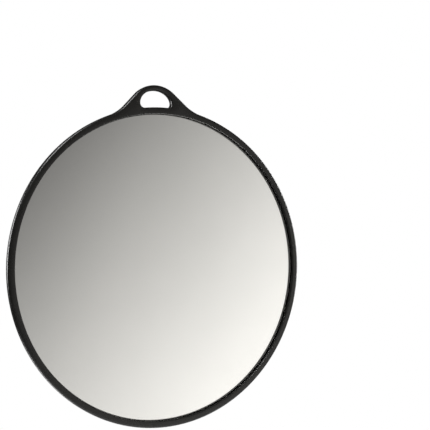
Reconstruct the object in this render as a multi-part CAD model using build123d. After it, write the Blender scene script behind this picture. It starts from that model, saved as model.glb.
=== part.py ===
from build123d import *
import math
import os

# Round salon hand mirror, hung upright by its loop. Millimetres, +Z up.
# The glass faces -Y, the handle stands out towards +Y, and the loop is at the top.
# Every part is drawn about the centre of the disc and then lowered, so that the
# origin is the bearing point of the loop: the top of its opening, at mid-thickness.
# A "depth" is a distance along +Y from the plane of the loop, and a "height" is a
# distance along +Z from the centre of the disc.

# ---- Rim and glass ----
rim_radius = 127.2
rim_front = -2.5
rim_back = 3.0
rim_front_round = 2.0
rim_back_round = 0.9
lip_radius = 121.8
lip_thickness = 2.2
lip_chamfer = 0.35
pocket_radius = 123.8
glass_radius = 123.4
glass_thickness = 2.5
silver_radius = 121.4
silver_thickness = 0.2
pad_count = 6
pad_inner_radius = 113.5
pad_outer_radius = 120.5
pad_arc = 34.0

# ---- Hanging loop ----
loop_top = 144.7
loop_crown_radius = 24.5
loop_shoulder_angle = 43.5
loop_root_length = 24.0
loop_blend = 36.0
loop_hole_centre = 130.0
loop_hole_half_width = 13.8
loop_hole_half_height = 10.5
loop_hole_sill = 126.9
loop_hole_corner = 2.2
hang_height = loop_hole_centre + loop_hole_half_height

# ---- Back shell ----
shell_radius = 124.8
shell_wall = 2.4
shell_edge_depth = 4.4
bowl_rise = 8.6
hollow_radius = 111.5
spigot_inner_radius = 122.0
spigot_outer_radius = 123.6
spigot_front = 2.4
scoop_base_width = 10.0
scoop_width_ratio = 0.5
scoop_longest = 26.0
scoop_sink = 1.0
seat_overlap = 0.3
scoop_lean = 0.75
scoop_focus_x, scoop_focus_height = 66.0, 20.0
cover_overhang = 0.5
grid_step = 4.0
grid_reach = 132.0

# ---- Crescent, head and grip ----
cover_radius = 126.2
crescent_slope = 1.37
crest_radius = 101.0
crest_depth = 38.0
head_slope = 0.64
head_crown_radius = 150.0
head_skin = 2.8
grip_peak_depth = 75.6
grip_peak_height = -15.0
grip_bow = 0.0012
neck_blend = 4.0
tip_x, tip_height = 109.4, 63.4
flank_corner_x, flank_corner_height = 65.4, 90.7
flank_corner_round = 19.0
neck_corner_x, neck_corner_height = 11.4, 54.2
neck_round = 28.0
pedestal_half_width = 24.0
grip_bottom = -57.5
grip_top = 37.0
part_line_depth = 61.0
part_line_height = 57.0
grip_wall = 2.8
grip_inner_face = [(-80.0, 61.0), (-58.5, 56.0), (-54.5, 48.0), (-46.0, 42.8), (-39.0, 43.2),
                   (-32.0, 46.6), (-22.0, 46.0), (-12.0, 49.7), (-2.0, 48.3), (8.0, 50.6),
                   (18.0, 49.0), (28.0, 48.6), (40.0, 45.0), (50.0, 38.0), (56.0, 26.0),
                   (58.0, 10.0)]

# ---- Badge ----
badge_top_radius = 99.8
badge_lower_centre = 153.6
badge_lower_radius = 88.0
badge_thickness = 1.0
badge_gap = 0.25
tape_thickness = 0.15

# ---- Screws ----
screw_radius = 1.5
screw_head_radius = 3.1
screw_head_height = 2.2
screw_clearance_radius = 1.8
head_screw_places = [(-36.0, 87.0), (36.0, 87.0), (-18.0, 75.0), (18.0, 75.0)]
boss_radius = 4.0
boss_length = 5.5
pad_post_radius = 6.5
post_floor = 3.0
grip_screw_heights = [26.0, -40.0]
grip_boss_radius = 4.8
grip_pilot_length = 9.0
grip_post_length = 6.0
cavity_top = 50.0

far = 200.0


def cone_depth(radius):
    """Depth of the crescent's conical face at a radius."""
    return crest_depth + crescent_slope * (crest_radius - radius)


def ridge_depth(height):
    """Depth of the handle's outer face along its middle line."""
    head = crest_depth + 0.8 + head_slope * (100.0 - height)
    grip = grip_peak_depth - grip_bow * (height - grip_peak_height) ** 2
    return -neck_blend * math.log(math.exp(-head / neck_blend) + math.exp(-grip / neck_blend))


def face_depth(x, height):
    """Depth of the handle's outer face, crowned from side to side."""
    return ridge_depth(height) - x * x / (2.0 * head_crown_radius)


def cover_depth(x, height):
    """Depth of the outermost surface of the crescent and head."""
    return min(cone_depth(math.hypot(x, height)), face_depth(x, height))


def bowl_depth(x, height):
    """Depth of the shallow bowl behind the glass."""
    return shell_edge_depth + bowl_rise * (1.0 - (math.hypot(x, height) / shell_radius) ** 2)


def flank_line(inset):
    """Right half of the head's lower edge: neck, arm, rounded shoulder and crescent tip."""
    arm_x = flank_corner_x - neck_corner_x
    arm_slope = (flank_corner_height - neck_corner_height) / arm_x
    tip_slope = (flank_corner_height - tip_height) / (tip_x - flank_corner_x)
    arm_angle = math.atan(arm_slope)
    tip_angle = math.atan(tip_slope)
    round_centre_height = flank_corner_height - flank_corner_round / math.cos(
        (arm_angle + tip_angle) / 2.0)
    points = []
    for x in (0.0, 5.0, 10.0, 15.0, 20.0):
        start_height = neck_corner_height + arm_slope * (pedestal_half_width - neck_corner_x)
        drop = arm_slope * (pedestal_half_width ** 2 - x * x) / (2.0 * pedestal_half_width)
        points.append((x, start_height - drop))
    for x in (25.0, 31.0, 37.0, 43.0, 49.0):
        points.append((x, neck_corner_height + arm_slope * (x - neck_corner_x)))
    for step in range(7):
        turn = math.pi / 2.0 + arm_angle - (arm_angle + tip_angle) * step / 6.0
        points.append((flank_corner_x + flank_corner_round * math.cos(turn),
                       round_centre_height + flank_corner_round * math.sin(turn)))
    for x in (82.0, 88.0, 94.0, 100.0, 106.0, 112.0, 118.0):
        points.append((x, flank_corner_height - tip_slope * (x - flank_corner_x)))
    moved = []
    for x, height in points:
        away_x, away_height = scoop_direction(x, height)
        moved.append((x - inset * away_x, height - inset * away_height))
    return moved


def scoop_direction(x, height):
    """Direction in which a scooped wall runs out from the head's edge."""
    if x < pedestal_half_width:
        lean = scoop_lean * x / pedestal_half_width
        return math.sin(lean), -math.cos(lean)
    away_x, away_height = scoop_focus_x - x, scoop_focus_height - height
    size = math.hypot(away_x, away_height)
    return away_x / size, away_height / size


def scoop_section(x, height, side, drop):
    """Upright slice through a scooped wall, from the head's edge out to the bowl."""
    away_x, away_height = scoop_direction(x, height)
    floor = bowl_depth(x, height) - drop - scoop_sink
    rise = max(0.0, cover_depth(x, height) - head_skin - drop - floor)
    width = min(scoop_longest, scoop_base_width + scoop_width_ratio * rise)
    points = []
    for share in (-0.1, 0.0, 0.15, 0.4, 0.7, 1.0):
        reach = share * width
        points.append(Vector(side * (x + away_x * reach), floor + rise * (1.0 - share) ** 2,
                             height + away_height * reach))
    outer_foot = Vector(points[-1].X, rim_front, points[-1].Z)
    inner_foot = Vector(points[0].X, rim_front, points[0].Z)
    top = Edge.make_spline(points)
    outer = Edge.make_line(points[-1], outer_foot)
    base = Edge.make_line(outer_foot, inner_foot)
    inner = Edge.make_line(inner_foot, points[0])
    return Wire([top, outer, base, inner])


def scoop_wall(inset, drop):
    """Scooped walls round the lower edge of the head, from one crescent tip to the other."""
    right = flank_line(inset)
    sections = [scoop_section(x, height, -1.0, drop) for x, height in reversed(right[1:])]
    sections += [scoop_section(x, height, 1.0, drop) for x, height in right]
    return Solid.make_loft(sections)


def pedestal_core(inset):
    """Upright block under the head, behind its lower edge."""
    right = flank_line(inset)
    edge = [(-x, height) for x, height in reversed(right[1:])] + right
    curve = Spline(*edge)
    end_x, end_height = edge[-1]
    sky = Polyline((end_x, end_height), (end_x, far), (-end_x, far), (-end_x, end_height))
    return plan_prism(make_face(curve + sky), -far, far)


def block_under(depth_at):
    """Solid that reaches forward from a surface given by its depth at each place."""
    count = int(grid_reach / grid_step)
    rows = []
    for j in range(-count, count + 1):
        height = j * grid_step
        row = []
        for i in range(-count, count + 1):
            x = i * grid_step
            row.append(Vector(x, depth_at(x, height), height))
        rows.append(row)
    surface = Face.make_surface_from_array_of_points(rows, tol=0.05, min_deg=3, max_deg=3)
    return Solid.extrude(surface, Vector(0, -far, 0))


def plan_prism(outline, front, back):
    """Solid of an outline drawn in X and height, from one depth to another."""
    face = Plane.XZ.offset(-front) * outline
    return extrude(face, amount=-(back - front))


def post(x, height, radius, front, back):
    """Round post along the depth."""
    return plan_prism(Pos(x, height) * Circle(radius), front, back)


def loop_outline():
    """Outline of the hanging loop's tab, down into the rim."""
    shoulder = math.radians(loop_shoulder_angle)
    centre_height = loop_top - loop_crown_radius
    side_x = loop_crown_radius * math.sin(shoulder)
    side_height = centre_height + loop_crown_radius * math.cos(shoulder)
    root_x = side_x + loop_root_length * math.cos(shoulder)
    root_height = side_height - loop_root_length * math.sin(shoulder)
    crown = ThreePointArc((-side_x, side_height), (0, loop_top), (side_x, side_height))
    right = Line((side_x, side_height), (root_x, root_height))
    base = Line((root_x, root_height), (-root_x, root_height))
    left = Line((-root_x, root_height), (-side_x, side_height))
    return make_face(crown + right + base + left)


def loop_hole():
    """D-shaped opening of the loop, with a sill that follows the rim."""
    opening = Pos(0, loop_hole_centre) * Ellipse(loop_hole_half_width, loop_hole_half_height)
    opening = opening - Circle(loop_hole_sill)
    return fillet(opening.vertices().group_by(Axis.Y)[0], loop_hole_corner)


def make_bezel():
    """Front ring with its glass lip, and the hanging loop moulded on its top."""
    outline = Circle(rim_radius) + loop_outline()
    joins = [v for v in outline.vertices() if v.Y > 100 and math.hypot(v.X, v.Y) < rim_radius + 0.1]
    outline = fillet(joins, loop_blend)
    ring = plan_prism(outline, rim_front, rim_back)
    ring = fillet(ring.edges().group_by(Axis.Y)[0], rim_front_round)
    ring = fillet(ring.edges().group_by(Axis.Y)[-1], rim_back_round)
    ring -= plan_prism(loop_hole(), rim_front - 1, rim_back + 1)
    ring -= plan_prism(Circle(lip_radius), rim_front - 1, rim_back + 1)
    ring -= plan_prism(Circle(pocket_radius), rim_front + lip_thickness, rim_back + 1)
    lip_edge = ring.edges().filter_by(GeomType.CIRCLE).group_by(Axis.Y)[0]
    lip_edge = [e for e in lip_edge if abs(e.radius - lip_radius) < 0.01]
    return chamfer(lip_edge, lip_chamfer)


def make_glass():
    """Clear glass disc."""
    front = rim_front + lip_thickness
    return plan_prism(Circle(glass_radius), front, front + glass_thickness)


def make_silvering():
    """Silver layer and back paint on the rear face of the glass."""
    front = rim_front + lip_thickness + glass_thickness
    return plan_prism(Circle(silver_radius), front, front + silver_thickness)


def make_foam_pad(index):
    """Curved foam pad that presses the glass forward against the lip."""
    front = rim_front + lip_thickness + glass_thickness + silver_thickness
    middle = 90.0 + 360.0 * (index + 0.5) / pad_count
    start = math.radians(middle - pad_arc / 2)
    centre = math.radians(middle)
    finish = math.radians(middle + pad_arc / 2)

    def at(radius, angle):
        return (radius * math.cos(angle), radius * math.sin(angle))

    outer = ThreePointArc(at(pad_outer_radius, start), at(pad_outer_radius, centre),
                          at(pad_outer_radius, finish))
    inner = ThreePointArc(at(pad_inner_radius, finish), at(pad_inner_radius, centre),
                          at(pad_inner_radius, start))
    end = Line(at(pad_outer_radius, finish), at(pad_inner_radius, finish))
    back = Line(at(pad_inner_radius, start), at(pad_outer_radius, start))
    return plan_prism(make_face(outer + end + inner + back), front, rim_back)


def half_outline(inset):
    """Right half of the handle's outline seen from behind, moved inwards by an inset."""
    neck_x = neck_corner_x - inset
    tip_slope = (flank_corner_height - tip_height) / (tip_x - flank_corner_x)
    side_height = flank_corner_height - tip_slope * (far - flank_corner_x)
    line = Polyline((0, far), (far, far), (far, side_height),
                    (flank_corner_x, flank_corner_height), (neck_x, neck_corner_height),
                    (neck_x, grip_top), (0, grip_top), (0, far))
    head = make_face(line)
    shoulder = [v for v in head.vertices() if abs(v.X - flank_corner_x) < 0.01]
    head = fillet(shoulder, flank_corner_round)
    neck = [v for v in head.vertices() if abs(v.X - neck_x) < 0.01 and v.Y > grip_top + 1]
    head = fillet(neck, neck_round)
    side = Spline((neck_x, grip_top), (12.1 - inset, 15), (13.5 - inset, -6),
                  (14.8 - inset, -22), (14.3 - inset, -38), (9.6 - inset, -52 + inset),
                  (0, grip_bottom + inset), tangents=[(0, -1), (-1, 0)])
    middle = Line((0, grip_bottom + inset), (0, grip_top))
    top = Line((0, grip_top), (neck_x, grip_top))
    return head + make_face(side + middle + top)


def handle_outline(inset):
    """Whole outline of crescent, head and grip seen from behind."""
    half = half_outline(inset)
    return (half + mirror(half, about=Plane.YZ)) & Circle(cover_radius)


def finger_gap(lift):
    """Space behind the grip, from side to side, moved outwards by a wall thickness."""
    heel = Spline(*grip_inner_face)
    lower = Polyline((58.0, 10.0), (58.0, -30.0), (-80.0, -30.0), (-80.0, 61.0))
    side_plane = Plane(origin=(0, 0, 0), x_dir=(0, 0, 1), z_dir=(-1, 0, 0))
    gap = extrude(side_plane * make_face(heel + lower), amount=40, both=True)
    return Pos(0, lift, 0) * gap


def crescent_cone():
    """Body of revolution whose slope is the crescent's outer face."""
    inner = 40.0
    outer = cover_radius + 3.0
    profile = Polyline((0, 0), (outer, 0), (outer, cone_depth(outer)),
                       (inner, cone_depth(inner)), (0, cone_depth(inner)), (0, 0))
    return revolve(make_face(profile), Axis.Y)


def make_handle_body(cone, face_block):
    """Crescent, head and grip as one closed form, before it is split into mouldings."""
    body = plan_prism(handle_outline(0.0), rim_back, 110)
    body = body & cone
    body = body & face_block
    return body - finger_gap(0.0)


def bowl_body(radius, drop):
    """Shallow dome behind the glass."""
    points = [(radius * share, bowl_depth(radius * share, 0) - drop)
              for share in (1.0, 0.8, 0.6, 0.4, 0.2, 0.0)]
    lower = Polyline(points[-1], (0, rim_back), (radius, rim_back), points[0])
    return revolve(make_face(Spline(*points) + lower), Axis.Y)


def head_cap(radius, drop, cone, face_block):
    """Solid up to the underside of the head and crescent, within a radius."""
    lower = Pos(0, -head_skin - drop, 0)
    cap = plan_prism(Circle(radius), rim_back, 110) & (lower * face_block)
    return cap & (lower * cone)


def shell_outer(cone, face_block):
    """Outer form of the back shell: bowl, seat under the head, and scooped walls."""
    raised = pedestal_core(cover_overhang + seat_overlap) + scoop_wall(cover_overhang, 0.0)
    return bowl_body(shell_radius, 0.0) + (head_cap(shell_radius, 0.0, cone, face_block) & raised)


def head_seat_depth(x, height):
    """Depth of the shell's seat under the head."""
    return cover_depth(x, height) - head_skin


def make_shell(outer, cone, face_block):
    """Bowl-shaped back shell with its ledge, spigot, head seat and screw posts."""
    hollow_seat = head_cap(hollow_radius, shell_wall, cone, face_block)
    hollow_seat = hollow_seat & pedestal_core(cover_overhang + shell_wall)
    for x, height in head_screw_places:
        post_end = head_seat_depth(x, height) - boss_length - post_floor
        hollow_seat -= post(x, height, pad_post_radius, post_end, far)
    shell = outer - bowl_body(hollow_radius, shell_wall)
    shell = shell - hollow_seat
    for x, height in head_screw_places:
        seat = head_seat_depth(x, height)
        boss_end = seat - boss_length
        shell -= post(x, height, boss_radius, boss_end, far)
        shell -= post(x, height, screw_clearance_radius, boss_end - post_floor - 1, seat)
    spigot = Circle(spigot_outer_radius) - Circle(spigot_inner_radius)
    return shell + plan_prism(spigot, spigot_front, rim_back + 0.5)


def badge_outline(gap):
    """Almond outline of the badge: two arcs that meet at its side corners."""
    upper = Circle(badge_top_radius + gap)
    lower = Pos(0, badge_lower_centre) * Circle(badge_lower_radius + gap)
    return upper & lower


def badge_layer(gap, upper_drop, lower_drop, face_block):
    """Layer of the badge's recess between two depths below the head's face."""
    column = plan_prism(badge_outline(gap), 10, 100)
    layer = column & (Pos(0, -upper_drop, 0) * face_block)
    return layer - (Pos(0, -lower_drop, 0) * face_block)


def grip_cavity(face_block):
    """Hollow inside the grip."""
    cavity = plan_prism(handle_outline(grip_wall), rim_back, 110)
    cavity = cavity & (Pos(0, -grip_wall, 0) * face_block)
    cavity = cavity - finger_gap(grip_wall)
    reach = plan_prism(Rectangle(60, 2 * cavity_top), rim_back, 110)
    return cavity & reach


def make_handle(body, outer, face_block):
    """Outer cover of head and grip, and the inner half of the grip."""
    handle = body - outer
    cavity = grip_cavity(face_block)
    handle = handle - cavity
    under = plan_prism(Pos(0, part_line_height - far / 2) * Rectangle(far, far),
                       rim_back, part_line_depth)
    inner = handle & under
    cover = handle - under
    body_top = Pos(0, -0.5, 0) * face_block
    for height in grip_screw_heights:
        start = part_line_depth - grip_post_length
        inner += post(0, height, grip_boss_radius, rim_back, part_line_depth) & body
        inner -= post(0, height, screw_clearance_radius, rim_back, part_line_depth + 1)
        inner -= post(0, height, screw_head_radius + 0.3, rim_back, start)
        cover += post(0, height, grip_boss_radius, part_line_depth, far) & body_top
        cover -= post(0, height, screw_radius, part_line_depth - 1, part_line_depth + grip_pilot_length)
    for x, height in head_screw_places:
        seat = head_seat_depth(x, height)
        cover += post(x, height, boss_radius, seat - boss_length, far) & body_top
        cover -= post(x, height, screw_radius, seat - boss_length - 1, seat)
    cover -= badge_layer(badge_gap, -1.0, badge_thickness + tape_thickness, face_block)
    return cover, inner


def screw(x, height, head_end, shank_end):
    """Pan-head screw along the depth, with its head at the front."""
    neck = head_end + screw_head_height
    head = post(x, height, screw_head_radius, head_end, neck)
    head = fillet(head.edges().group_by(Axis.Y)[0], 0.8)
    slot = plan_prism(Pos(x, height) * (Rectangle(3.4, 0.7) + Rectangle(0.7, 3.4)),
                      head_end - 1, head_end + 1.1)
    return head - slot + post(x, height, screw_radius, neck, shank_end)


def make_head_screws():
    """Screws that hold the head to the back shell from inside."""
    screws = []
    for x, height in head_screw_places:
        seat = head_seat_depth(x, height)
        head_end = seat - boss_length - post_floor - screw_head_height
        screws.append(screw(x, height, head_end, seat))
    return Compound(children=screws)


def make_grip_screws():
    """Screws that hold the grip's inner half to its cover."""
    screws = []
    for height in grip_screw_heights:
        start = part_line_depth - grip_post_length
        screws.append(screw(0, height, start - screw_head_height, part_line_depth + grip_pilot_length))
    return Compound(children=screws)


def save(shape, name):
    """Write one sub-part, lowered so that the origin is the loop's bearing point."""
    shape = Pos(0, 0, -hang_height) * shape
    export_step(shape, f"parts/{name}.step")


def main():
    os.makedirs("parts", exist_ok=True)
    save(make_bezel(), "front_bezel")
    save(make_glass(), "mirror_glass")
    save(make_silvering(), "mirror_silvering")
    for index in range(pad_count):
        save(make_foam_pad(index), f"foam_pad_{index + 1}")
    cone = crescent_cone()
    face_block = block_under(face_depth)
    outer = shell_outer(cone, face_block)
    save(make_shell(outer, cone, face_block), "back_shell")
    body = make_handle_body(cone, face_block)
    cover, inner = make_handle(body, outer, face_block)
    save(cover, "handle_cover")
    save(inner, "handle_inner")
    save(badge_layer(0.0, 0.0, badge_thickness, face_block), "badge_plate")
    save(badge_layer(0.0, badge_thickness, badge_thickness + tape_thickness, face_block),
         "badge_adhesive")
    save(make_head_screws(), "head_screws")
    save(make_grip_screws(), "grip_screws")


main()
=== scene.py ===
import math

import bmesh
import bpy
import numpy as np
from mathutils import Matrix, Vector
from mathutils.geometry import delaunay_2d_cdt, interpolate_bezier


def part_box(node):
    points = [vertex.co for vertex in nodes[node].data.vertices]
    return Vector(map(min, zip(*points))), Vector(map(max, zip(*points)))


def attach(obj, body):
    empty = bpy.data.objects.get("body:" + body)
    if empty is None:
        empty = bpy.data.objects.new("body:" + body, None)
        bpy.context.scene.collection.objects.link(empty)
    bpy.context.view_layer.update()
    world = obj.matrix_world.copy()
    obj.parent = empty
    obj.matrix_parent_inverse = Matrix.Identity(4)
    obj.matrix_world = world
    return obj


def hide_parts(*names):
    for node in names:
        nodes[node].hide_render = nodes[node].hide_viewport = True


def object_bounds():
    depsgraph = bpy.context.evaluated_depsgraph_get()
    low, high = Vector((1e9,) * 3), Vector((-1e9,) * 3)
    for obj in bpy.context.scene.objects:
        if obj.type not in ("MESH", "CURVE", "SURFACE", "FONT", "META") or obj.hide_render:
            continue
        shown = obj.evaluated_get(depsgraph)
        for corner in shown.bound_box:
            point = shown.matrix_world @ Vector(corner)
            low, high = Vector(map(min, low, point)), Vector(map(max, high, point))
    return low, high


# Looks of the hand mirror. The shape functions work in millimetres about the centre of
# the disc: x to the right seen from the glass, h upwards, depth towards the handle.

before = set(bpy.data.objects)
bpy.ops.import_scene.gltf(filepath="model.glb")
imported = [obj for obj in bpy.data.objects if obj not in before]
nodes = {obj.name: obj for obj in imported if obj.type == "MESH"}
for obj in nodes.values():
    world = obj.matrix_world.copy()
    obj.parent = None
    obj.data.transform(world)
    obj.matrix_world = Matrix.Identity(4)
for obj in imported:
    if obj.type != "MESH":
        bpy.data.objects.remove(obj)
cad_low, cad_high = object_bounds()
scene = bpy.context.scene

glass_low, glass_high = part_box("mirror_glass")
disc_z = (glass_low.z + glass_high.z) / 2
rim_low, rim_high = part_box("front_bezel")
rim_front, rim_back = rim_low.y * 1000, rim_high.y * 1000
rim_radius = (disc_z - rim_low.z) * 1000
loop_top = (rim_high.z - disc_z) * 1000
glass_radius = glass_high.x * 1000
shell_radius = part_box("back_shell")[1].x * 1000
cover_low, cover_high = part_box("handle_cover")
grip_bottom = (cover_low.z - disc_z) * 1000
cover_radius = (cover_high.z - disc_z) * 1000
grip_peak = cover_high.y * 1000
part_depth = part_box("handle_inner")[1].y * 1000

LOOP_CROWN = 24.5
LOOP_SHOULDER = 43.5
LOOP_BLEND = 36.0
HOOK_CENTRE = 130.0
HOOK_HALF = (13.8, 10.5)
HOOK_SILL = 126.9
HOOK_ROUND = 2.2
LIP_RADIUS = 121.8
POCKET_RADIUS = 123.8
CREST_RADIUS = 101.0
CREST_DEPTH = 38.0
CONE_SLOPE = 1.37
HEAD_SLOPE = 0.64
HEAD_LIFT = 0.8
HEAD_TOP = 100.0
HEAD_SKIN = 2.8
HEAD_CROWN = 150.0
NECK_BLEND = 4.0
CREST_BLEND = 0.45
GRIP_BOW = 0.0012
GRIP_MIDDLE = -15.0
GRIP_WIDEST = (14.8, -22)
SHELL_WALL = 2.2
SHELL_EDGE = 0.9
SCOOP_BASE = 10.0
SCOOP_RATIO = 0.5
SCOOP_LONGEST = 26.0
SCOOP_FOCUS = (66.0, 20.0)
SCOOP_LEAN = 0.75
BOWL_EDGE = 4.4
BOWL_RISE = 8.6
SHOULDER = (65.4, 90.7)
SHOULDER_ROUND = 19.0
NECK = (11.4, 54.2)
NECK_ROUND = 28.0
TIP = (109.4, 63.4)
GRIP_TOP = 37.0
NECK_FOOT = 24.0
BADGE_TOP = 99.8
BADGE_LOW_CENTRE = 153.6
BADGE_LOW = 88.0
BADGE_THICK = 1.0
BADGE_GAP = 0.25
BADGE_FILM = 0.15
PAD_INNER = 113.5
PAD_OUTER = 120.5
PAD_HALF_ARC = math.radians(17)
INNER_FACE = [(-58.5, 56.0), (-54.5, 48.0), (-46.0, 42.8), (-39.0, 43.2), (-32.0, 46.6),
              (-22.0, 46.0), (-12.0, 49.7), (-2.0, 48.3), (8.0, 50.6), (18.0, 49.0),
              (28.0, 48.6), (40.0, 45.0), (50.0, 38.0), (56.0, 26.0), (58.0, 10.0)]


# ---------------------------------------------------------------- shape functions

def smooth_min(a, b, blend):
    """Smaller of two values, with the crease between them rounded."""
    return -blend * np.logaddexp(-a / blend, -b / blend)


def cover_depth(points):
    """Outer face of crescent, head and grip."""
    x, h = points[:, 0], points[:, 1]
    cone = CREST_DEPTH + CONE_SLOPE * (CREST_RADIUS - np.hypot(x, h))
    head = CREST_DEPTH + HEAD_LIFT + HEAD_SLOPE * (HEAD_TOP - h)
    grip = grip_peak - GRIP_BOW * (h - GRIP_MIDDLE) ** 2
    face = smooth_min(head, grip, NECK_BLEND) - x * x / (2 * HEAD_CROWN)
    return smooth_min(cone, face, CREST_BLEND)


def cover_underside(points):
    """Inner face of the cover: a skin over the head, and the parting plane at the grip."""
    return np.maximum(np.minimum(cover_depth(points) - HEAD_SKIN, part_depth), rim_back + 0.1)


def bowl_depth(points):
    """Shallow bowl of the back shell."""
    share = np.hypot(points[:, 0], points[:, 1]) / shell_radius
    return BOWL_EDGE + BOWL_RISE * (1.0 - share ** 2)


def grip_inner_depth(points):
    """Inner face of the grip, with its shallow finger grooves."""
    knots = np.array(INNER_FACE)
    slopes = np.gradient(knots[:, 1], knots[:, 0])
    h = np.clip(points[:, 1], knots[0, 0], knots[-1, 0])
    i = np.clip(np.searchsorted(knots[:, 0], h) - 1, 0, len(knots) - 2)
    width = knots[i + 1, 0] - knots[i, 0]
    t = (h - knots[i, 0]) / width
    rise = 2 * t ** 3 - 3 * t ** 2 + 1
    swell = t ** 3 - 2 * t ** 2 + t
    tail = t ** 3 - t ** 2
    return (rise * knots[i, 1] + (1 - rise) * knots[i + 1, 1]
            + width * (swell * slopes[i] + tail * slopes[i + 1]))


def in_badge(points, gap):
    """True inside the almond outline of the badge."""
    upper = np.hypot(points[:, 0], points[:, 1]) < BADGE_TOP + gap
    lower = np.hypot(points[:, 0], points[:, 1] - BADGE_LOW_CENTRE) < BADGE_LOW + gap
    return upper & lower


# ---------------------------------------------------------------- outlines

def resample(points, step):
    """The same path with evenly spaced points, its two ends kept."""
    points = np.array(points, float)
    run = np.concatenate([[0], np.cumsum(np.hypot(*np.diff(points, axis=0).T))])
    count = max(2, int(round(run[-1] / step)) + 1)
    at = np.linspace(0, run[-1], count)
    return np.stack([np.interp(at, run, points[:, 0]), np.interp(at, run, points[:, 1])], 1)


def rounded(before, corner, after, radius):
    """Arc that rounds a corner, from its first tangent point to its last."""
    before, corner, after = (np.array(p, float) for p in (before, corner, after))
    a = (before - corner) / np.linalg.norm(before - corner)
    b = (after - corner) / np.linalg.norm(after - corner)
    half = math.acos(np.clip(a @ b, -1, 1)) / 2
    centre = corner + (a + b) / np.linalg.norm(a + b) * radius / math.sin(half)
    start = corner + a * radius / math.tan(half) - centre
    finish = corner + b * radius / math.tan(half) - centre
    turn = math.atan2(start[0] * finish[1] - start[1] * finish[0], start @ finish)
    angles = np.linspace(0, turn, 25)
    return [centre + [start[0] * math.cos(t) - start[1] * math.sin(t),
                      start[0] * math.sin(t) + start[1] * math.cos(t)] for t in angles]


def arm_slope():
    """Rise per millimetre of the head's edge from the neck to the shoulder."""
    return (SHOULDER[1] - NECK[1]) / (SHOULDER[0] - NECK[0])


def flank_slope():
    """Fall per millimetre of the crescent's edge from the shoulder to its tip."""
    return (SHOULDER[1] - TIP[1]) / (TIP[0] - SHOULDER[0])


def tip_point(radius):
    """Where the crescent's lower edge meets a circle about the disc's centre."""
    x = np.linspace(SHOULDER[0], 125, 4000)
    h = SHOULDER[1] - flank_slope() * (x - SHOULDER[0])
    i = int(np.argmin(np.abs(np.hypot(x, h) - radius)))
    return float(x[i]), float(h[i])


def half_handle_path(step):
    """Right half of the handle's outline, from the top of the crescent to the grip's end."""
    tip = tip_point(cover_radius)
    end = math.atan2(tip[1], tip[0])
    arc = [(cover_radius * math.cos(a), cover_radius * math.sin(a))
           for a in np.linspace(math.pi / 2, end, 200)]
    flank = [tip] + rounded(tip, SHOULDER, NECK, SHOULDER_ROUND)
    flank += rounded(SHOULDER, NECK, (NECK[0], GRIP_TOP - 20), NECK_ROUND)
    side = interpolate_bezier(Vector((NECK[0], GRIP_TOP - 3)), Vector((11.4, 15)),
                              Vector((14.8, -8)), Vector(GRIP_WIDEST), 40)
    heel = interpolate_bezier(Vector(GRIP_WIDEST), Vector((14.8, -42)),
                              Vector((10.5, grip_bottom)), Vector((0, grip_bottom)), 40)
    lower = flank + [tuple(p)[:2] for p in side] + [tuple(p)[:2] for p in heel[1:]]
    return np.concatenate([resample(arc, step * 1.4)[:-1], resample(lower, step)])


def closed_by_mirror(half):
    """Closed loop from a right half whose two ends lie on the middle line."""
    left = half[-2:0:-1] * [-1, 1]
    return np.concatenate([half, left])


def bezel_loop(step):
    """Outer outline of the rim, with the hanging loop blended into its top."""
    angle = math.radians(LOOP_SHOULDER)
    side = np.array([math.sin(angle), math.cos(angle)])
    down = np.array([math.cos(angle), -math.sin(angle)])
    crown_h = loop_top - LOOP_CROWN
    start = np.array([0, crown_h]) + LOOP_CROWN * side
    base = start + LOOP_BLEND * side
    reach = rim_radius + LOOP_BLEND
    run = -base @ down - math.sqrt((base @ down) ** 2 - base @ base + reach ** 2)
    centre = base + run * down
    crown = [(LOOP_CROWN * math.sin(a), crown_h + LOOP_CROWN * math.cos(a))
             for a in np.linspace(0, angle, 30)]
    last = math.atan2(-centre[1], -centre[0])
    first = math.atan2(-side[1], -side[0])
    blend = [centre + LOOP_BLEND * np.array([math.cos(a), math.sin(a)])
             for a in np.linspace(first, last, 30)]
    join = math.atan2(centre[1], centre[0])
    ring = [(rim_radius * math.cos(a), rim_radius * math.sin(a))
            for a in np.linspace(join, -math.pi / 2, 400)]
    return closed_by_mirror(resample(crown + blend + ring[1:], step))


def hook_loop(step):
    """Outline of the loop's D-shaped opening, whose sill follows the rim."""
    wide, tall = HOOK_HALF
    sill = HOOK_SILL
    t = np.linspace(0, math.pi, 400)
    oval = np.stack([wide * np.sin(t), HOOK_CENTRE + tall * np.cos(t)], 1)
    oval = oval[np.hypot(oval[:, 0], oval[:, 1]) > sill]
    corner = oval[-1]
    lip = math.atan2(corner[1], corner[0])
    base = [(sill * math.cos(a), sill * math.sin(a)) for a in np.linspace(lip, math.pi / 2, 60)]
    near = oval[np.argmin(np.abs(np.hypot(*(oval - corner).T) - 6.0))]
    curve = rounded(tuple(near), tuple(corner), base[-1], HOOK_ROUND)
    top = [p for p in oval if p[1] > curve[0][1]]
    sole = [p for p in base if p[0] < curve[-1][0]]
    loop = closed_by_mirror(resample(top + list(curve) + sole, step))
    return np.stack([smoothed(loop[:, 0], 6), smoothed(loop[:, 1], 6)], 1)


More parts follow.
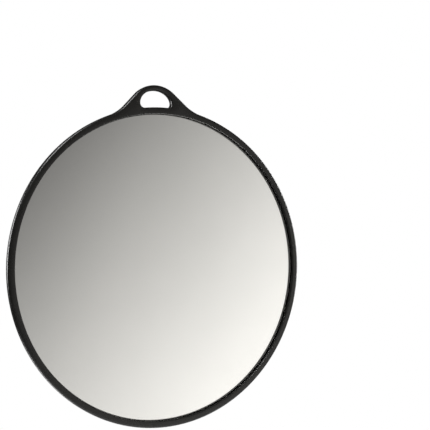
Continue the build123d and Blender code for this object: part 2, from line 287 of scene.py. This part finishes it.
def badge_loop(gap, step):
    """Closed almond loop between two arcs."""
    big, small = BADGE_TOP + gap, BADGE_LOW + gap
    corner_h = (big ** 2 - small ** 2 + BADGE_LOW_CENTRE ** 2) / (2 * BADGE_LOW_CENTRE)
    corner_x = math.sqrt(big ** 2 - corner_h ** 2)
    top_angle = math.atan2(corner_h, corner_x)
    low_angle = math.atan2(corner_h - BADGE_LOW_CENTRE, corner_x)
    top = [(big * math.cos(a), big * math.sin(a))
           for a in np.linspace(math.pi - top_angle, top_angle, 200)]
    low = [(small * math.cos(a), BADGE_LOW_CENTRE + small * math.sin(a))
           for a in np.linspace(low_angle, -math.pi - low_angle, 200)]
    return np.concatenate([resample(top, step)[:-1], resample(low, step)[:-1]])


def inward(loop):
    """Unit vectors that point into a closed loop, one for each point."""
    along = np.roll(loop, -1, 0) - np.roll(loop, 1, 0)
    along /= np.linalg.norm(along, axis=1)[:, None]
    x, h = loop[:, 0], loop[:, 1]
    area = np.sum(x * np.roll(h, -1) - np.roll(x, -1) * h)
    normal = np.stack([-along[:, 1], along[:, 0]], 1)
    return normal if area > 0 else -normal


def smoothed(values, times):
    """Values along a closed loop, averaged with their neighbours."""
    for _ in range(times):
        values = (np.roll(values, 1) + 2 * values + np.roll(values, -1)) / 4
    return values


def inside_loop(points, loop):
    """True for points inside a closed loop, by counting crossings."""
    hit = np.zeros(len(points), bool)
    for (ax, ah), (bx, bh) in zip(loop, np.roll(loop, -1, 0)):
        if ah == bh:
            continue
        cross = (ah > points[:, 1]) != (bh > points[:, 1])
        hit ^= cross & (points[:, 0] < (bx - ax) * (points[:, 1] - ah) / (bh - ah) + ax)
    return hit


def hex_grid(loop, spacing):
    """Evenly scattered points in rows inside a loop, clear of its edge."""
    low, high = loop.min(0), loop.max(0)
    rows = np.arange(low[1], high[1], spacing * 0.866)
    found = []
    for j, h in enumerate(rows):
        x = np.arange(low[0] + (j % 2) * spacing / 2, high[0], spacing)
        found.append(np.stack([x, np.full(len(x), h)], 1))
    points = np.concatenate(found)
    return points[inside_loop(points, loop)]


def clear_of(points, loop, gap):
    """Points that keep a gap to every point of a loop."""
    keep = np.ones(len(points), bool)
    for p in loop:
        keep &= np.hypot(points[:, 0] - p[0], points[:, 1] - p[1]) > gap
    return points[keep]


# ---------------------------------------------------------------- mesh making

def new_piece(name, points, faces, material, replaced):
    """Mesh object from points in millimetres (x, depth, h), riding on the frame."""
    points = np.array(points, float) / 1000
    points[:, 2] += disc_z
    mesh = bpy.data.meshes.new(name)
    mesh.from_pydata(points.tolist(), [], [tuple(int(i) for i in f) for f in faces])
    bm = bmesh.new()
    bm.from_mesh(mesh)
    bmesh.ops.remove_doubles(bm, verts=bm.verts, dist=1e-6)
    bmesh.ops.recalc_face_normals(bm, faces=bm.faces)
    bm.to_mesh(mesh)
    bm.free()
    mesh.shade_smooth()
    mesh.set_sharp_from_angle(angle=math.radians(40))
    piece = bpy.data.objects.new(name, mesh)
    scene.collection.objects.link(piece)
    mesh.materials.append(material)
    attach(piece, "root")
    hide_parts(*replaced)
    return piece


def pillow(loop, edge, top, bottom, spacing, recess=None, extra=None, flip=False):
    """Closed form over a plan outline: rounded upper edge, wall, and a flat underside.

    edge is the rounding radius at each point of the loop. recess is (loop, test, depth)
    of a pocket in the upper face. flip turns the form over, so the rounded face is inner.
    """
    sign = -1.0 if flip else 1.0
    normal = inward(loop)
    edge = np.minimum(edge, np.maximum(0.45 * (top(loop) - bottom(loop)), 0.02))
    rows, count = [], len(loop)

    def row(inset, depth_at):
        plan = loop + normal * inset[:, None]
        rows.append(np.stack([plan[:, 0], depth_at(plan), plan[:, 1]], 1))

    foot = np.minimum(edge, 0.25)
    row(edge, bottom)
    row(foot, bottom)
    row(0 * edge, lambda p: bottom(p) + foot)
    row(0 * edge, lambda p: 0.5 * (bottom(p) + foot) + 0.5 * (top(p) - edge))
    for angle in np.linspace(0, math.pi / 2, 7):
        row(edge * (1 - math.cos(angle)), lambda p, a=angle: top(p) - edge * (1 - math.sin(a)))
    inner = loop + normal * edge[:, None]
    plan = clear_of(hex_grid(inner, spacing), inner, spacing * 0.6)
    loops = [inner]
    if recess:
        plan = clear_of(plan, recess[0], spacing * 0.5)
        loops.append(recess[0])
    if extra is not None:
        extra = clear_of(extra[inside_loop(extra, inner)], inner, spacing * 0.45)
        plan = clear_of(plan, extra, spacing * 0.45)
        if recess:
            extra = clear_of(extra, recess[0], spacing * 0.45)
        plan = np.concatenate([plan, extra])
    flat = np.concatenate(loops + [plan])
    edges, start = [], 0
    for ring in loops:
        edges += [(start + i, start + (i + 1) % len(ring)) for i in range(len(ring))]
        start += len(ring)
    made = delaunay_2d_cdt([Vector(p) for p in flat], edges, [], 1, 1e-6)
    flat = np.array([tuple(v)[:2] for v in made[0]])
    triangles = np.array([f for f in made[2]])
    source = [o[0] if o else -1 for o in made[3]]

    points = list(np.concatenate(rows))
    faces = []
    for r in range(len(rows) - 1):
        for i in range(count):
            j = (i + 1) % count
            faces.append((r * count + i, r * count + j, (r + 1) * count + j, (r + 1) * count + i))
    top_of, base_of = {}, {}
    high, low = top(flat), bottom(flat)
    for i, (x, h) in enumerate(flat):
        if 0 <= source[i] < count:
            top_of[i] = (len(rows) - 1) * count + source[i]
            base_of[i] = source[i]
            continue
        top_of[i] = len(points)
        points.append((x, high[i], h))
        base_of[i] = len(points)
        points.append((x, low[i], h))
    sunk = np.zeros(len(triangles), bool)
    if recess:
        sunk = recess[1](flat[triangles].mean(1))
    floor_of = {}
    for triangle, down in zip(triangles, sunk):
        faces.append([base_of[i] for i in triangle[::-1]])
        if not down:
            faces.append([top_of[i] for i in triangle])
            continue
        for i in triangle:
            if i not in floor_of:
                floor_of[i] = len(points)
                points.append((flat[i][0], high[i] - recess[2], flat[i][1]))
        faces.append([floor_of[i] for i in triangle])
    if recess:
        ring = {source[i]: i for i in range(len(flat)) if source[i] >= count}
        size = len(recess[0])
        for i in range(size):
            a, b = ring[count + i], ring[count + (i + 1) % size]
            faces.append((top_of[a], top_of[b], floor_of[b], floor_of[a]))
    points = np.array(points)
    points[:, 1] *= sign
    return points, faces


def quarter(radius, offset, depth, turn):
    """Rounded edge as (offset, depth) pairs, from a flat face to the wall or back."""
    angles = np.linspace(0, math.pi / 2, 6)
    pairs = [(offset + radius * (1 - math.sin(a)), depth + turn * radius * (1 - math.cos(a)))
             for a in angles]
    return pairs


def plate(outlines, spacing):
    """Closed plate between outlines, each with a profile of (offset inwards, depth)."""
    points, faces, fronts, backs = [], [], [], []
    for loop, profile, hole in outlines:
        normal = -inward(loop) if hole else inward(loop)
        base, count = len(points), len(loop)
        for offset, depth in profile:
            plan = loop + normal * offset
            points += [(x, depth, h) for x, h in plan]
        for r in range(len(profile) - 1):
            for i in range(count):
                j = (i + 1) % count
                a, b = base + r * count, base + (r + 1) * count
                faces.append((a + i, a + j, b + j, b + i))
        fronts.append((loop + normal * profile[0][0], base))
        backs.append((loop + normal * profile[-1][0], base + (len(profile) - 1) * count))
    for side, depth in ((fronts, outlines[0][1][0][1]), (backs, outlines[0][1][-1][1])):
        flat, edges, index = [], [], []
        for ring, base in side:
            start, count = len(flat), len(ring)
            flat += list(ring)
            index += [base + i for i in range(count)]
            edges += [(start + i, start + (i + 1) % count) for i in range(count)]
        made = delaunay_2d_cdt([Vector(p) for p in flat], edges, [], 1, 1e-6)
        flat = np.array([tuple(v)[:2] for v in made[0]])
        triangles = np.array(made[2])
        middle = flat[triangles].mean(1)
        keep = inside_loop(middle, side[0][0])
        for ring, _ in side[1:]:
            keep &= ~inside_loop(middle, ring)
        for triangle in triangles[keep]:
            faces.append([index[made[3][i][0]] for i in triangle])
    return np.array(points), faces


# ---------------------------------------------------------------- materials

def node(tree, kind, **settings):
    """New shader node with some of its settings."""
    made = tree.nodes.new(kind)
    for key, value in settings.items():
        setattr(made, key, value)
    return made


def noise(tree, scale, detail, roughness=0.5):
    """Noise in the object's own coordinates, whose scale is in features per metre."""
    where = node(tree, "ShaderNodeTexCoord")
    made = node(tree, "ShaderNodeTexNoise")
    made.inputs["Scale"].default_value = scale
    made.inputs["Detail"].default_value = detail
    made.inputs["Roughness"].default_value = roughness
    tree.links.new(where.outputs["Object"], made.inputs["Vector"])
    return made.outputs["Fac"]


def mapped(tree, value, low, high, start=0.0, finish=1.0):
    """A value stretched from one range to another."""
    made = node(tree, "ShaderNodeMapRange")
    made.inputs["From Min"].default_value = low
    made.inputs["From Max"].default_value = high
    made.inputs["To Min"].default_value = start
    made.inputs["To Max"].default_value = finish
    tree.links.new(value, made.inputs["Value"])
    return made.outputs["Result"]


def blended(tree, share, first, second):
    """Colour between two colours."""
    made = node(tree, "ShaderNodeMix", data_type="RGBA")
    made.inputs["A"].default_value = (*first, 1)
    made.inputs["B"].default_value = (*second, 1)
    tree.links.new(share, made.inputs["Factor"])
    return made.outputs["Result"]


def bump(tree, height, strength, distance, under=None):
    """Bumped normal, on top of another one if it is given."""
    made = node(tree, "ShaderNodeBump")
    made.inputs["Strength"].default_value = strength
    made.inputs["Distance"].default_value = distance
    tree.links.new(height, made.inputs["Height"])
    if under is not None:
        tree.links.new(under, made.inputs["Normal"])
    return made.outputs["Normal"]


def surface(name, dark, light, rough, patch=40.0, metal=0.0, grain=None, waves=None,
            wear=None, painted_glints=None, level=0.5):
    """Moulded or metal finish with patchy colour, patchy gloss, grain, worn edges and painted
    glints.

    rough is (least, most). grain and waves are (features per metre, strength, distance).
    wear is (colour, share) of a lighter tone on convex edges. painted_glints is (features per
    metre, colour) of fine lighter dots painted into the colour as glints off the grain.
    """
    made = bpy.data.materials.new(name)
    made.use_nodes = True
    tree = made.node_tree
    shader = tree.nodes["Principled BSDF"]
    patches = noise(tree, patch, 4.0)
    colour = blended(tree, mapped(tree, patches, 0.35, 0.65), dark, light)
    # Painted glints: fine lighter dots mixed into the base colour stand in for the glints off the
    # grain.
    if painted_glints:
        painted_glint_mask = mapped(tree, noise(tree, painted_glints[0], 1.0), 0.50, 0.64)
        mix = node(tree, "ShaderNodeMix", data_type="RGBA")
        mix.inputs["B"].default_value = (*painted_glints[1], 1)
        tree.links.new(painted_glint_mask, mix.inputs["Factor"])
        tree.links.new(colour, mix.inputs["A"])
        colour = mix.outputs["Result"]
    if wear:
        shape = node(tree, "ShaderNodeNewGeometry")
        edge = mapped(tree, shape.outputs["Pointiness"], 0.55, 0.66, 0.0, wear[1])
        mix = node(tree, "ShaderNodeMix", data_type="RGBA")
        mix.inputs["B"].default_value = (*wear[0], 1)
        tree.links.new(edge, mix.inputs["Factor"])
        tree.links.new(colour, mix.inputs["A"])
        colour = mix.outputs["Result"]
    tree.links.new(colour, shader.inputs["Base Color"])
    haze = noise(tree, patch * 2.3, 5.0, 0.6)
    tree.links.new(mapped(tree, haze, 0.3, 0.7, *rough), shader.inputs["Roughness"])
    shader.inputs["Metallic"].default_value = metal
    shader.inputs["Specular IOR Level"].default_value = level
    normal = None
    if waves:
        normal = bump(tree, noise(tree, waves[0], 2.0), waves[1], waves[2])
    if grain:
        normal = bump(tree, noise(tree, grain[0], 3.0, 0.65), grain[1], grain[2], normal)
    if normal is not None:
        tree.links.new(normal, shader.inputs["Normal"])
    return made


def clear_glass():
    """Float glass with a trace of haze."""
    made = surface("float_glass", (0.985, 0.987, 0.983), (0.997, 0.998, 0.995), (0.0, 0.01),
                   patch=9.0)
    shader = made.node_tree.nodes["Principled BSDF"]
    shader.inputs["Transmission Weight"].default_value = 1.0
    shader.inputs["IOR"].default_value = 1.5
    return made


bezel_plastic = surface("satin_bezel", (0.009, 0.0087, 0.0080), (0.0125, 0.012, 0.0112),
                        (0.24, 0.34), grain=(1500, 0.15, 0.0003),
                        wear=((0.04, 0.04, 0.04), 0.4), level=0.4)
shell_plastic = surface("satin_shell", (0.024, 0.0228, 0.020), (0.028, 0.0264, 0.0232),
                        (0.33, 0.37), patch=12.0, waves=(14, 0.3, 0.004),
                        grain=(1500, 0.12, 0.0003))
# Both grained materials carry painted glints, which are lighter dots in their colour.
grained_plastic = surface("grained_cover", (0.0015, 0.0015, 0.0018), (0.0030, 0.0030, 0.0034),
                          (0.30, 0.38), grain=(900, 1.0, 0.0009), level=0.11,
                          wear=((0.03, 0.03, 0.03), 0.25), painted_glints=(800, (0.032, 0.032, 0.034)))
grip_plastic = surface("grained_grip", (0.0015, 0.0015, 0.0018), (0.0030, 0.0030, 0.0034),
                       (0.32, 0.40), grain=(900, 1.0, 0.0009), level=0.11,
                       wear=((0.03, 0.03, 0.03), 0.15), painted_glints=(800, (0.030, 0.030, 0.032)))
badge_plastic = surface("smooth_badge", (0.0035, 0.0052, 0.011), (0.0055, 0.0080, 0.0155),
                        (0.40, 0.46), patch=25.0, level=0.25, grain=(900, 0.03, 0.0001))
silver = surface("silver_layer", (0.90, 0.90, 0.90), (0.94, 0.94, 0.94), (0.004, 0.02),
                 patch=7.0, metal=1.0)
foam = surface("closed_cell_foam", (0.09, 0.09, 0.09), (0.15, 0.15, 0.15), (0.85, 0.97),
               grain=(1800, 0.9, 0.0006), patch=90.0)
tape = surface("adhesive_film", (0.68, 0.66, 0.60), (0.80, 0.79, 0.74), (0.5, 0.7),
               grain=(1500, 0.4, 0.0002))
plated_steel = surface("plated_steel", (0.46, 0.47, 0.49), (0.60, 0.60, 0.62), (0.24, 0.36),
                       metal=1.0, patch=260.0, grain=(5200, 0.25, 0.0001),
                       wear=((0.80, 0.80, 0.82), 0.5))
glass = clear_glass()


def finish_node(name, material):
    """A CAD node keeps its mesh and takes a finish."""
    slots = nodes[name].material_slots
    for place in slots:
        place.material = material
    if not slots:
        nodes[name].data.materials.append(material)


finish_node("badge_adhesive", tape)
finish_node("head_screws", plated_steel)
finish_node("grip_screws", plated_steel)


# ---------------------------------------------------------------- rim and glass

def make_bezel():
    """Rim with a rounded outer edge, a thin lip over the glass, and the hanging loop."""
    outer = quarter(2.0, 0, rim_front, 1) + quarter(1.0, 0, rim_back, -1)[::-1]
    hook = quarter(1.3, 0, rim_front, 1) + quarter(1.0, 0, rim_back, -1)[::-1]
    under = glass_low.y * 1000 - 0.02
    deep = POCKET_RADIUS - LIP_RADIUS
    opening = quarter(0.45, 0, rim_front, 1) + [(0, under), (deep, under), (deep, rim_back)]
    angles = np.linspace(0, 2 * math.pi, 720, endpoint=False)
    circle = LIP_RADIUS * np.stack([np.cos(angles), np.sin(angles)], 1)
    points, faces = plate([(bezel_loop(1.0), outer, False), (hook_loop(0.6), hook, True),
                           (circle, opening, True)], 2.0)
    return new_piece("rim_moulding", points, faces, bezel_plastic,
                     ["front_bezel"])


def disc(name, radius, front, back, edge, material, replaced):
    """Flat disc with ground edges."""
    angles = np.linspace(0, 2 * math.pi, 360, endpoint=False)
    circle = radius * np.stack([np.cos(angles), np.sin(angles)], 1)
    profile = [(edge, front), (0, front + edge), (0, back - edge), (edge, back)]
    points, faces = plate([(circle, profile, False)], 2.0)
    piece = new_piece(name, points, faces, material, replaced)
    piece.data.shade_flat()
    return piece


def make_glass():
    """Glass disc, and the silver layer a hair behind it."""
    disc("glass_disc", glass_radius, glass_low.y * 1000, glass_high.y * 1000 - 0.02, 0.5, glass,
         ["mirror_glass"])
    low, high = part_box("mirror_silvering")
    disc("silver_disc", high.x * 1000, low.y * 1000, high.y * 1000, 0.05, silver,
         ["mirror_silvering"])


# ---------------------------------------------------------------- handle

def make_cover():
    """Crescent, head and outer half of the grip, with the pocket for the badge."""
    loop = closed_by_mirror(half_handle_path(1.1))
    depth, h = cover_depth(loop), loop[:, 1]
    edge = np.interp(h, [-57, -35, 0, 45, 60], [5.0, 4.6, 3.0, 2.0, 1.7])
    on_rim = np.hypot(loop[:, 0], h) > cover_radius - 0.3
    edge = np.where(on_rim, 0.3, np.minimum(edge, 0.35 * (depth - rim_back - 0.1)))
    edge = smoothed(np.maximum(edge, 0.05), 5)
    crest = []
    for radius in np.arange(CREST_RADIUS - 3.0, CREST_RADIUS + 3.01, 0.75):
        for angle in np.linspace(0.8, math.pi - 0.8, 150):
            crest.append((radius * math.cos(angle), radius * math.sin(angle)))
    pocket = (badge_loop(BADGE_GAP, 1.1), lambda p: in_badge(p, BADGE_GAP),
              BADGE_THICK + BADGE_FILM)
    points, faces = pillow(loop, edge, cover_depth, cover_underside, 1.7, recess=pocket,
                           extra=np.array(crest))
    return new_piece("handle_cover_moulding", points, faces, grained_plastic,
                     ["handle_cover"])


def make_inner():
    """Inner half of the grip, which the fingers close round."""
    half = half_handle_path(1.1)
    low = half[half[:, 1] < 56.5]
    low = low[low[:, 0] < 40]
    low[:, 0] = np.maximum(low[:, 0] - 0.12, 0)
    loop = np.concatenate([low, (low[-2:0:-1]) * [-1, 1]])
    lid = resample([(-low[0, 0], low[0, 1]), (low[0, 0], low[0, 1])], 1.5)[:-1]
    loop = np.concatenate([loop, lid])
    edge = np.interp(loop[:, 1], [-57, -40, 0, 40, 52], [6.0, 7.0, 7.5, 6.0, 2.0])
    edge = smoothed(edge, 6)
    points, faces = pillow(loop, edge, lambda p: -grip_inner_depth(p),
                           lambda p: np.full(len(p), 0.12 - part_depth), 1.7, flip=True)
    return new_piece("grip_inner_moulding", points, faces, grip_plastic,
                     ["handle_inner"])


def make_badge():
    """Plain almond inlay, flush with the head."""
    loop = badge_loop(0.0, 1.1)
    points, faces = pillow(loop, np.full(len(loop), 0.35), cover_depth,
                           lambda p: cover_depth(p) - BADGE_THICK, 1.7)
    return new_piece("badge_inlay", points, faces, badge_plastic,
                     ["badge_plate"])


# ---------------------------------------------------------------- back shell

def flank_path():
    """Right half of the line from which the shell's scooped walls fall away."""
    foot_h = NECK[1] + arm_slope() * (NECK_FOOT - NECK[0])
    x = np.linspace(0, NECK_FOOT, 30)
    bow = foot_h - arm_slope() * (NECK_FOOT ** 2 - x * x) / (2 * NECK_FOOT)
    path = list(zip(x, bow)) + rounded(NECK, SHOULDER, TIP, SHOULDER_ROUND)
    path.append(tip_point(shell_radius))
    return resample(path, 1.3)


def scoop_direction(points):
    """Direction in which the scooped walls run out from the head's edge."""
    x = points[:, 0]
    lean = SCOOP_LEAN * x / NECK_FOOT
    near = np.stack([np.sin(lean), -np.cos(lean)], 1)
    aim = np.array(SCOOP_FOCUS) - points
    aim /= np.linalg.norm(aim, axis=1)[:, None]
    share = np.clip((x - NECK_FOOT + 8.0) / 14.0, 0, 1)[:, None]
    share = share * share * (3 - 2 * share)
    way = near * (1 - share) + aim * share
    return way / np.linalg.norm(way, axis=1)[:, None]


def make_shell():
    """Bowl behind the glass and the scooped walls that rise from it to the head."""
    start = flank_path()
    way = scoop_direction(start)
    along = np.linspace(0, 1, len(start))
    rise = np.maximum(cover_depth(start) - HEAD_SKIN - 0.1 - bowl_depth(start), 0)
    width = np.minimum(SCOOP_LONGEST, SCOOP_BASE + SCOOP_RATIO * rise) * (1 - along ** 6)
    foot = start + way * width[:, None]
    tip = tip_point(shell_radius)
    end = -math.pi / 2 + (math.atan2(tip[1], tip[0]) + math.pi / 2) * along
    rim = shell_radius * np.stack([np.cos(end), np.sin(end)], 1)
    columns = []
    for share in (-0.09, -0.04):
        plan = start + way * (width * share)[:, None]
        columns.append((plan, bowl_depth(plan) + rise))
    for share in np.linspace(0, 1, 26) ** 1.15:
        plan = start + way * (width * share)[:, None]
        columns.append((plan, bowl_depth(plan) + rise * (1 - share) ** 2))
    for share in np.linspace(0, 1, 40)[1:] ** 0.9:
        plan = foot + (rim - foot) * share
        shrink = (shell_radius - SHELL_EDGE) / np.hypot(plan[:, 0], plan[:, 1])
        plan *= np.minimum(1, shrink)[:, None]
        columns.append((plan, bowl_depth(plan)))
    edge_depth = BOWL_EDGE + 0.12
    for angle in np.linspace(0.2, math.pi / 2, 5):
        size = shell_radius - SHELL_EDGE * (1 - math.sin(angle))
        plan = rim * size / shell_radius
        depth = edge_depth - SHELL_EDGE * (1 - math.cos(angle))
        columns.append((plan, np.full(len(plan), depth)))
    columns.append((rim, np.full(len(rim), rim_back)))
    columns.append((rim * 0.975, np.full(len(rim), rim_back)))
    outer = [np.stack([p[:, 0], d, p[:, 1]], 1) for p, d in columns]
    inner = []
    for p, d in columns[:-8][::-1]:
        plan = p * np.minimum(1, shell_radius * 0.975 / np.hypot(p[:, 0], p[:, 1]))[:, None]
        inner.append(np.stack([plan[:, 0], np.maximum(d - SHELL_WALL, rim_back), plan[:, 1]], 1))
    sheets = np.array(outer + inner)
    flipped = sheets[:, :0:-1] * [-1, 1, 1]
    grid = np.concatenate([flipped, sheets], 1)
    rows, size = grid.shape[:2]
    faces = []
    for r in range(rows):
        for i in range(size - 1):
            s = (r + 1) % rows
            faces.append((r * size + i, r * size + i + 1, s * size + i + 1, s * size + i))
    return new_piece("back_shell_moulding", grid.reshape(-1, 3), faces, shell_plastic,
                     ["back_shell"])


def make_pads():
    """Curved foam pads behind the glass."""
    for index in range(1, 7):
        low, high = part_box(f"foam_pad_{index}")
        middle = math.radians(90 + 60 * (index - 0.5))
        angles = np.linspace(middle - PAD_HALF_ARC, middle + PAD_HALF_ARC, 40)
        outer = [(PAD_OUTER * math.cos(a), PAD_OUTER * math.sin(a)) for a in angles]
        inner = [(PAD_INNER * math.cos(a), PAD_INNER * math.sin(a)) for a in angles[::-1]]
        path = outer + inner + outer[:1]
        loop = resample(path, 1.2)[:-1]
        points, faces = pillow(loop, np.full(len(loop), 0.5),
                               lambda p, d=high.y * 1000: np.full(len(p), d),
                               lambda p, d=low.y * 1000: np.full(len(p), d), 3.0)
        pad = new_piece(f"glass_pad_{index}", points, faces, foam, [f"foam_pad_{index}"])


make_bezel()
make_glass()
make_cover()
make_inner()
make_badge()
make_shell()
make_pads()


# ---------------------------------------------------------------- camera and studio

def swapped(v):
    """From right, up and out of the glass to the row frame's axes."""
    return Vector((v.x, -v.z, v.y))


turn = (Matrix.Rotation(math.radians(4.08), 3, "Z") @ Matrix.Rotation(math.radians(-0.21), 3, "X")
        @ Matrix.Rotation(math.radians(29.89), 3, "Y"))
place = turn.transposed() @ Vector((0.03847, 0.04063, 0.5977))
camera_data = bpy.data.cameras.new("camera")
camera_data.lens = 62.63
camera_data.sensor_width = 36.0
camera = bpy.data.objects.new("camera", camera_data)
scene.collection.objects.link(camera)
axes = Matrix([swapped(turn[0]), swapped(turn[1]), swapped(turn[2])]).transposed()
camera.matrix_world = (Matrix.Translation(swapped(place) + Vector((0, 0, disc_z)))
                       @ axes.to_4x4())
scene.camera = camera


def softbox(name, position, target, size, power):
    """Square area light that faces a point."""
    data = bpy.data.lights.new(name, "AREA")
    data.shape = "RECTANGLE"
    data.size, data.size_y = size
    data.energy = power
    lamp = bpy.data.objects.new(name, data)
    scene.collection.objects.link(lamp)
    lamp.location = position
    lamp.rotation_euler = (Vector(target) - Vector(position)).to_track_quat("-Z", "Y").to_euler()


middle = Vector((0, 0.02, disc_z))
softbox("top_strip", (-0.55, -0.5, 1.1), middle, (0.25, 0.5), 16)
softbox("side_strip", (1.3, 0.05, 0.0), middle, (0.12, 0.9), 12)
softbox("back_right", (-1.1, 0.9, 0.2), middle, (0.5, 0.8), 22)
softbox("back_left", (1.0, 1.0, 0.3), middle, (0.3, 0.6), 3)
softbox("under_strip", (-0.2, 0.25, cad_low.z - 0.22), middle, (0.1, 0.4), 0.7)
scene.objects["under_strip"].visible_camera = False


def make_floor():
    """Pale round floor under the hanging mirror, fading out at its edge."""
    bm = bmesh.new()
    centre = bm.verts.new((0, 0, 0))
    rings = []
    for radius in np.linspace(0.05, 0.9, 18):
        rings.append([bm.verts.new((radius * math.cos(a), radius * math.sin(a), 0))
                      for a in np.linspace(0, 2 * math.pi, 96, endpoint=False)])
    for i in range(96):
        bm.faces.new((centre, rings[0][i], rings[0][(i + 1) % 96]))
        for inner, outer in zip(rings, rings[1:]):
            bm.faces.new((inner[i], outer[i], outer[(i + 1) % 96], inner[(i + 1) % 96]))
    mesh = bpy.data.meshes.new("floor")
    bm.to_mesh(mesh)
    bm.free()
    floor = bpy.data.objects.new("floor", mesh)
    scene.collection.objects.link(floor)
    floor.location = (0, 0.02, cad_low.z - 0.25)
    made = surface("pale_floor", (0.86, 0.86, 0.86), (0.90, 0.90, 0.90), (0.7, 0.85), patch=3.0)
    tree = made.node_tree
    shader = tree.nodes["Principled BSDF"]
    shader.inputs["Emission Color"].default_value = (1, 1, 1, 1)
    rays = node(tree, "ShaderNodeLightPath")
    glow = mapped(tree, rays.outputs["Is Camera Ray"], 0.0, 1.0, 0.2, 0.75)
    tree.links.new(glow, shader.inputs["Emission Strength"])
    where = node(tree, "ShaderNodeTexCoord")
    length = node(tree, "ShaderNodeVectorMath", operation="LENGTH")
    tree.links.new(where.outputs["Object"], length.inputs[0])
    fade = mapped(tree, length.outputs["Value"], 0.25, 0.85)
    clear = node(tree, "ShaderNodeBsdfTransparent")
    mix = node(tree, "ShaderNodeMixShader")
    tree.links.new(fade, mix.inputs[0])
    tree.links.new(shader.outputs[0], mix.inputs[1])
    tree.links.new(clear.outputs[0], mix.inputs[2])
    tree.links.new(mix.outputs[0], tree.nodes["Material Output"].inputs["Surface"])
    mesh.materials.append(made)


def make_world():
    """White backdrop, and a studio that grows brighter towards the low right front."""
    world = bpy.data.worlds.new("studio")
    world.use_nodes = True
    scene.world = world
    tree = world.node_tree
    lit = tree.nodes["Background"]
    where = node(tree, "ShaderNodeTexCoord")
    along = node(tree, "ShaderNodeVectorMath", operation="DOT_PRODUCT")
    along.inputs[1].default_value = (0.745, 0.0, -0.667)
    tree.links.new(where.outputs["Generated"], along.inputs[0])
    slope = node(tree, "ShaderNodeMath", operation="MULTIPLY_ADD")
    slope.inputs[1].default_value = 1.963
    slope.inputs[2].default_value = 0.054
    tree.links.new(along.outputs["Value"], slope.inputs[0])
    rise = node(tree, "ShaderNodeMath", operation="SMOOTH_MAX")
    rise.inputs[1].default_value = 0.30
    rise.inputs[2].default_value = 0.17
    tree.links.new(slope.outputs[0], rise.inputs[0])
    curve = node(tree, "ShaderNodeMath", operation="POWER")
    curve.inputs[1].default_value = 1.6
    tree.links.new(rise.outputs[0], curve.inputs[0])
    cap = node(tree, "ShaderNodeMath", operation="MINIMUM")
    cap.inputs[1].default_value = 1.15
    tree.links.new(curve.outputs[0], cap.inputs[0])
    level = cap.outputs[0]
    ahead = node(tree, "ShaderNodeSeparateXYZ")
    tree.links.new(where.outputs["Generated"], ahead.inputs[0])
    front = mapped(tree, ahead.outputs["Y"], -0.25, -0.75, 0.10, 1.0)
    both = node(tree, "ShaderNodeMath", operation="MULTIPLY")
    tree.links.new(level, both.inputs[0])
    tree.links.new(front, both.inputs[1])
    tree.links.new(both.outputs[0], lit.inputs["Strength"])
    lit.inputs["Color"].default_value = (1.0, 0.982, 0.94, 1)
    seen = node(tree, "ShaderNodeBackground")
    seen.inputs["Color"].default_value = (1, 1, 1, 1)
    rays = node(tree, "ShaderNodeLightPath")
    mix = node(tree, "ShaderNodeMixShader")
    tree.links.new(rays.outputs["Is Camera Ray"], mix.inputs[0])
    tree.links.new(lit.outputs[0], mix.inputs[1])
    tree.links.new(seen.outputs[0], mix.inputs[2])
    tree.links.new(mix.outputs[0], tree.nodes["World Output"].inputs["Surface"])


make_floor()
make_world()
scene.view_settings.view_transform = "Standard"
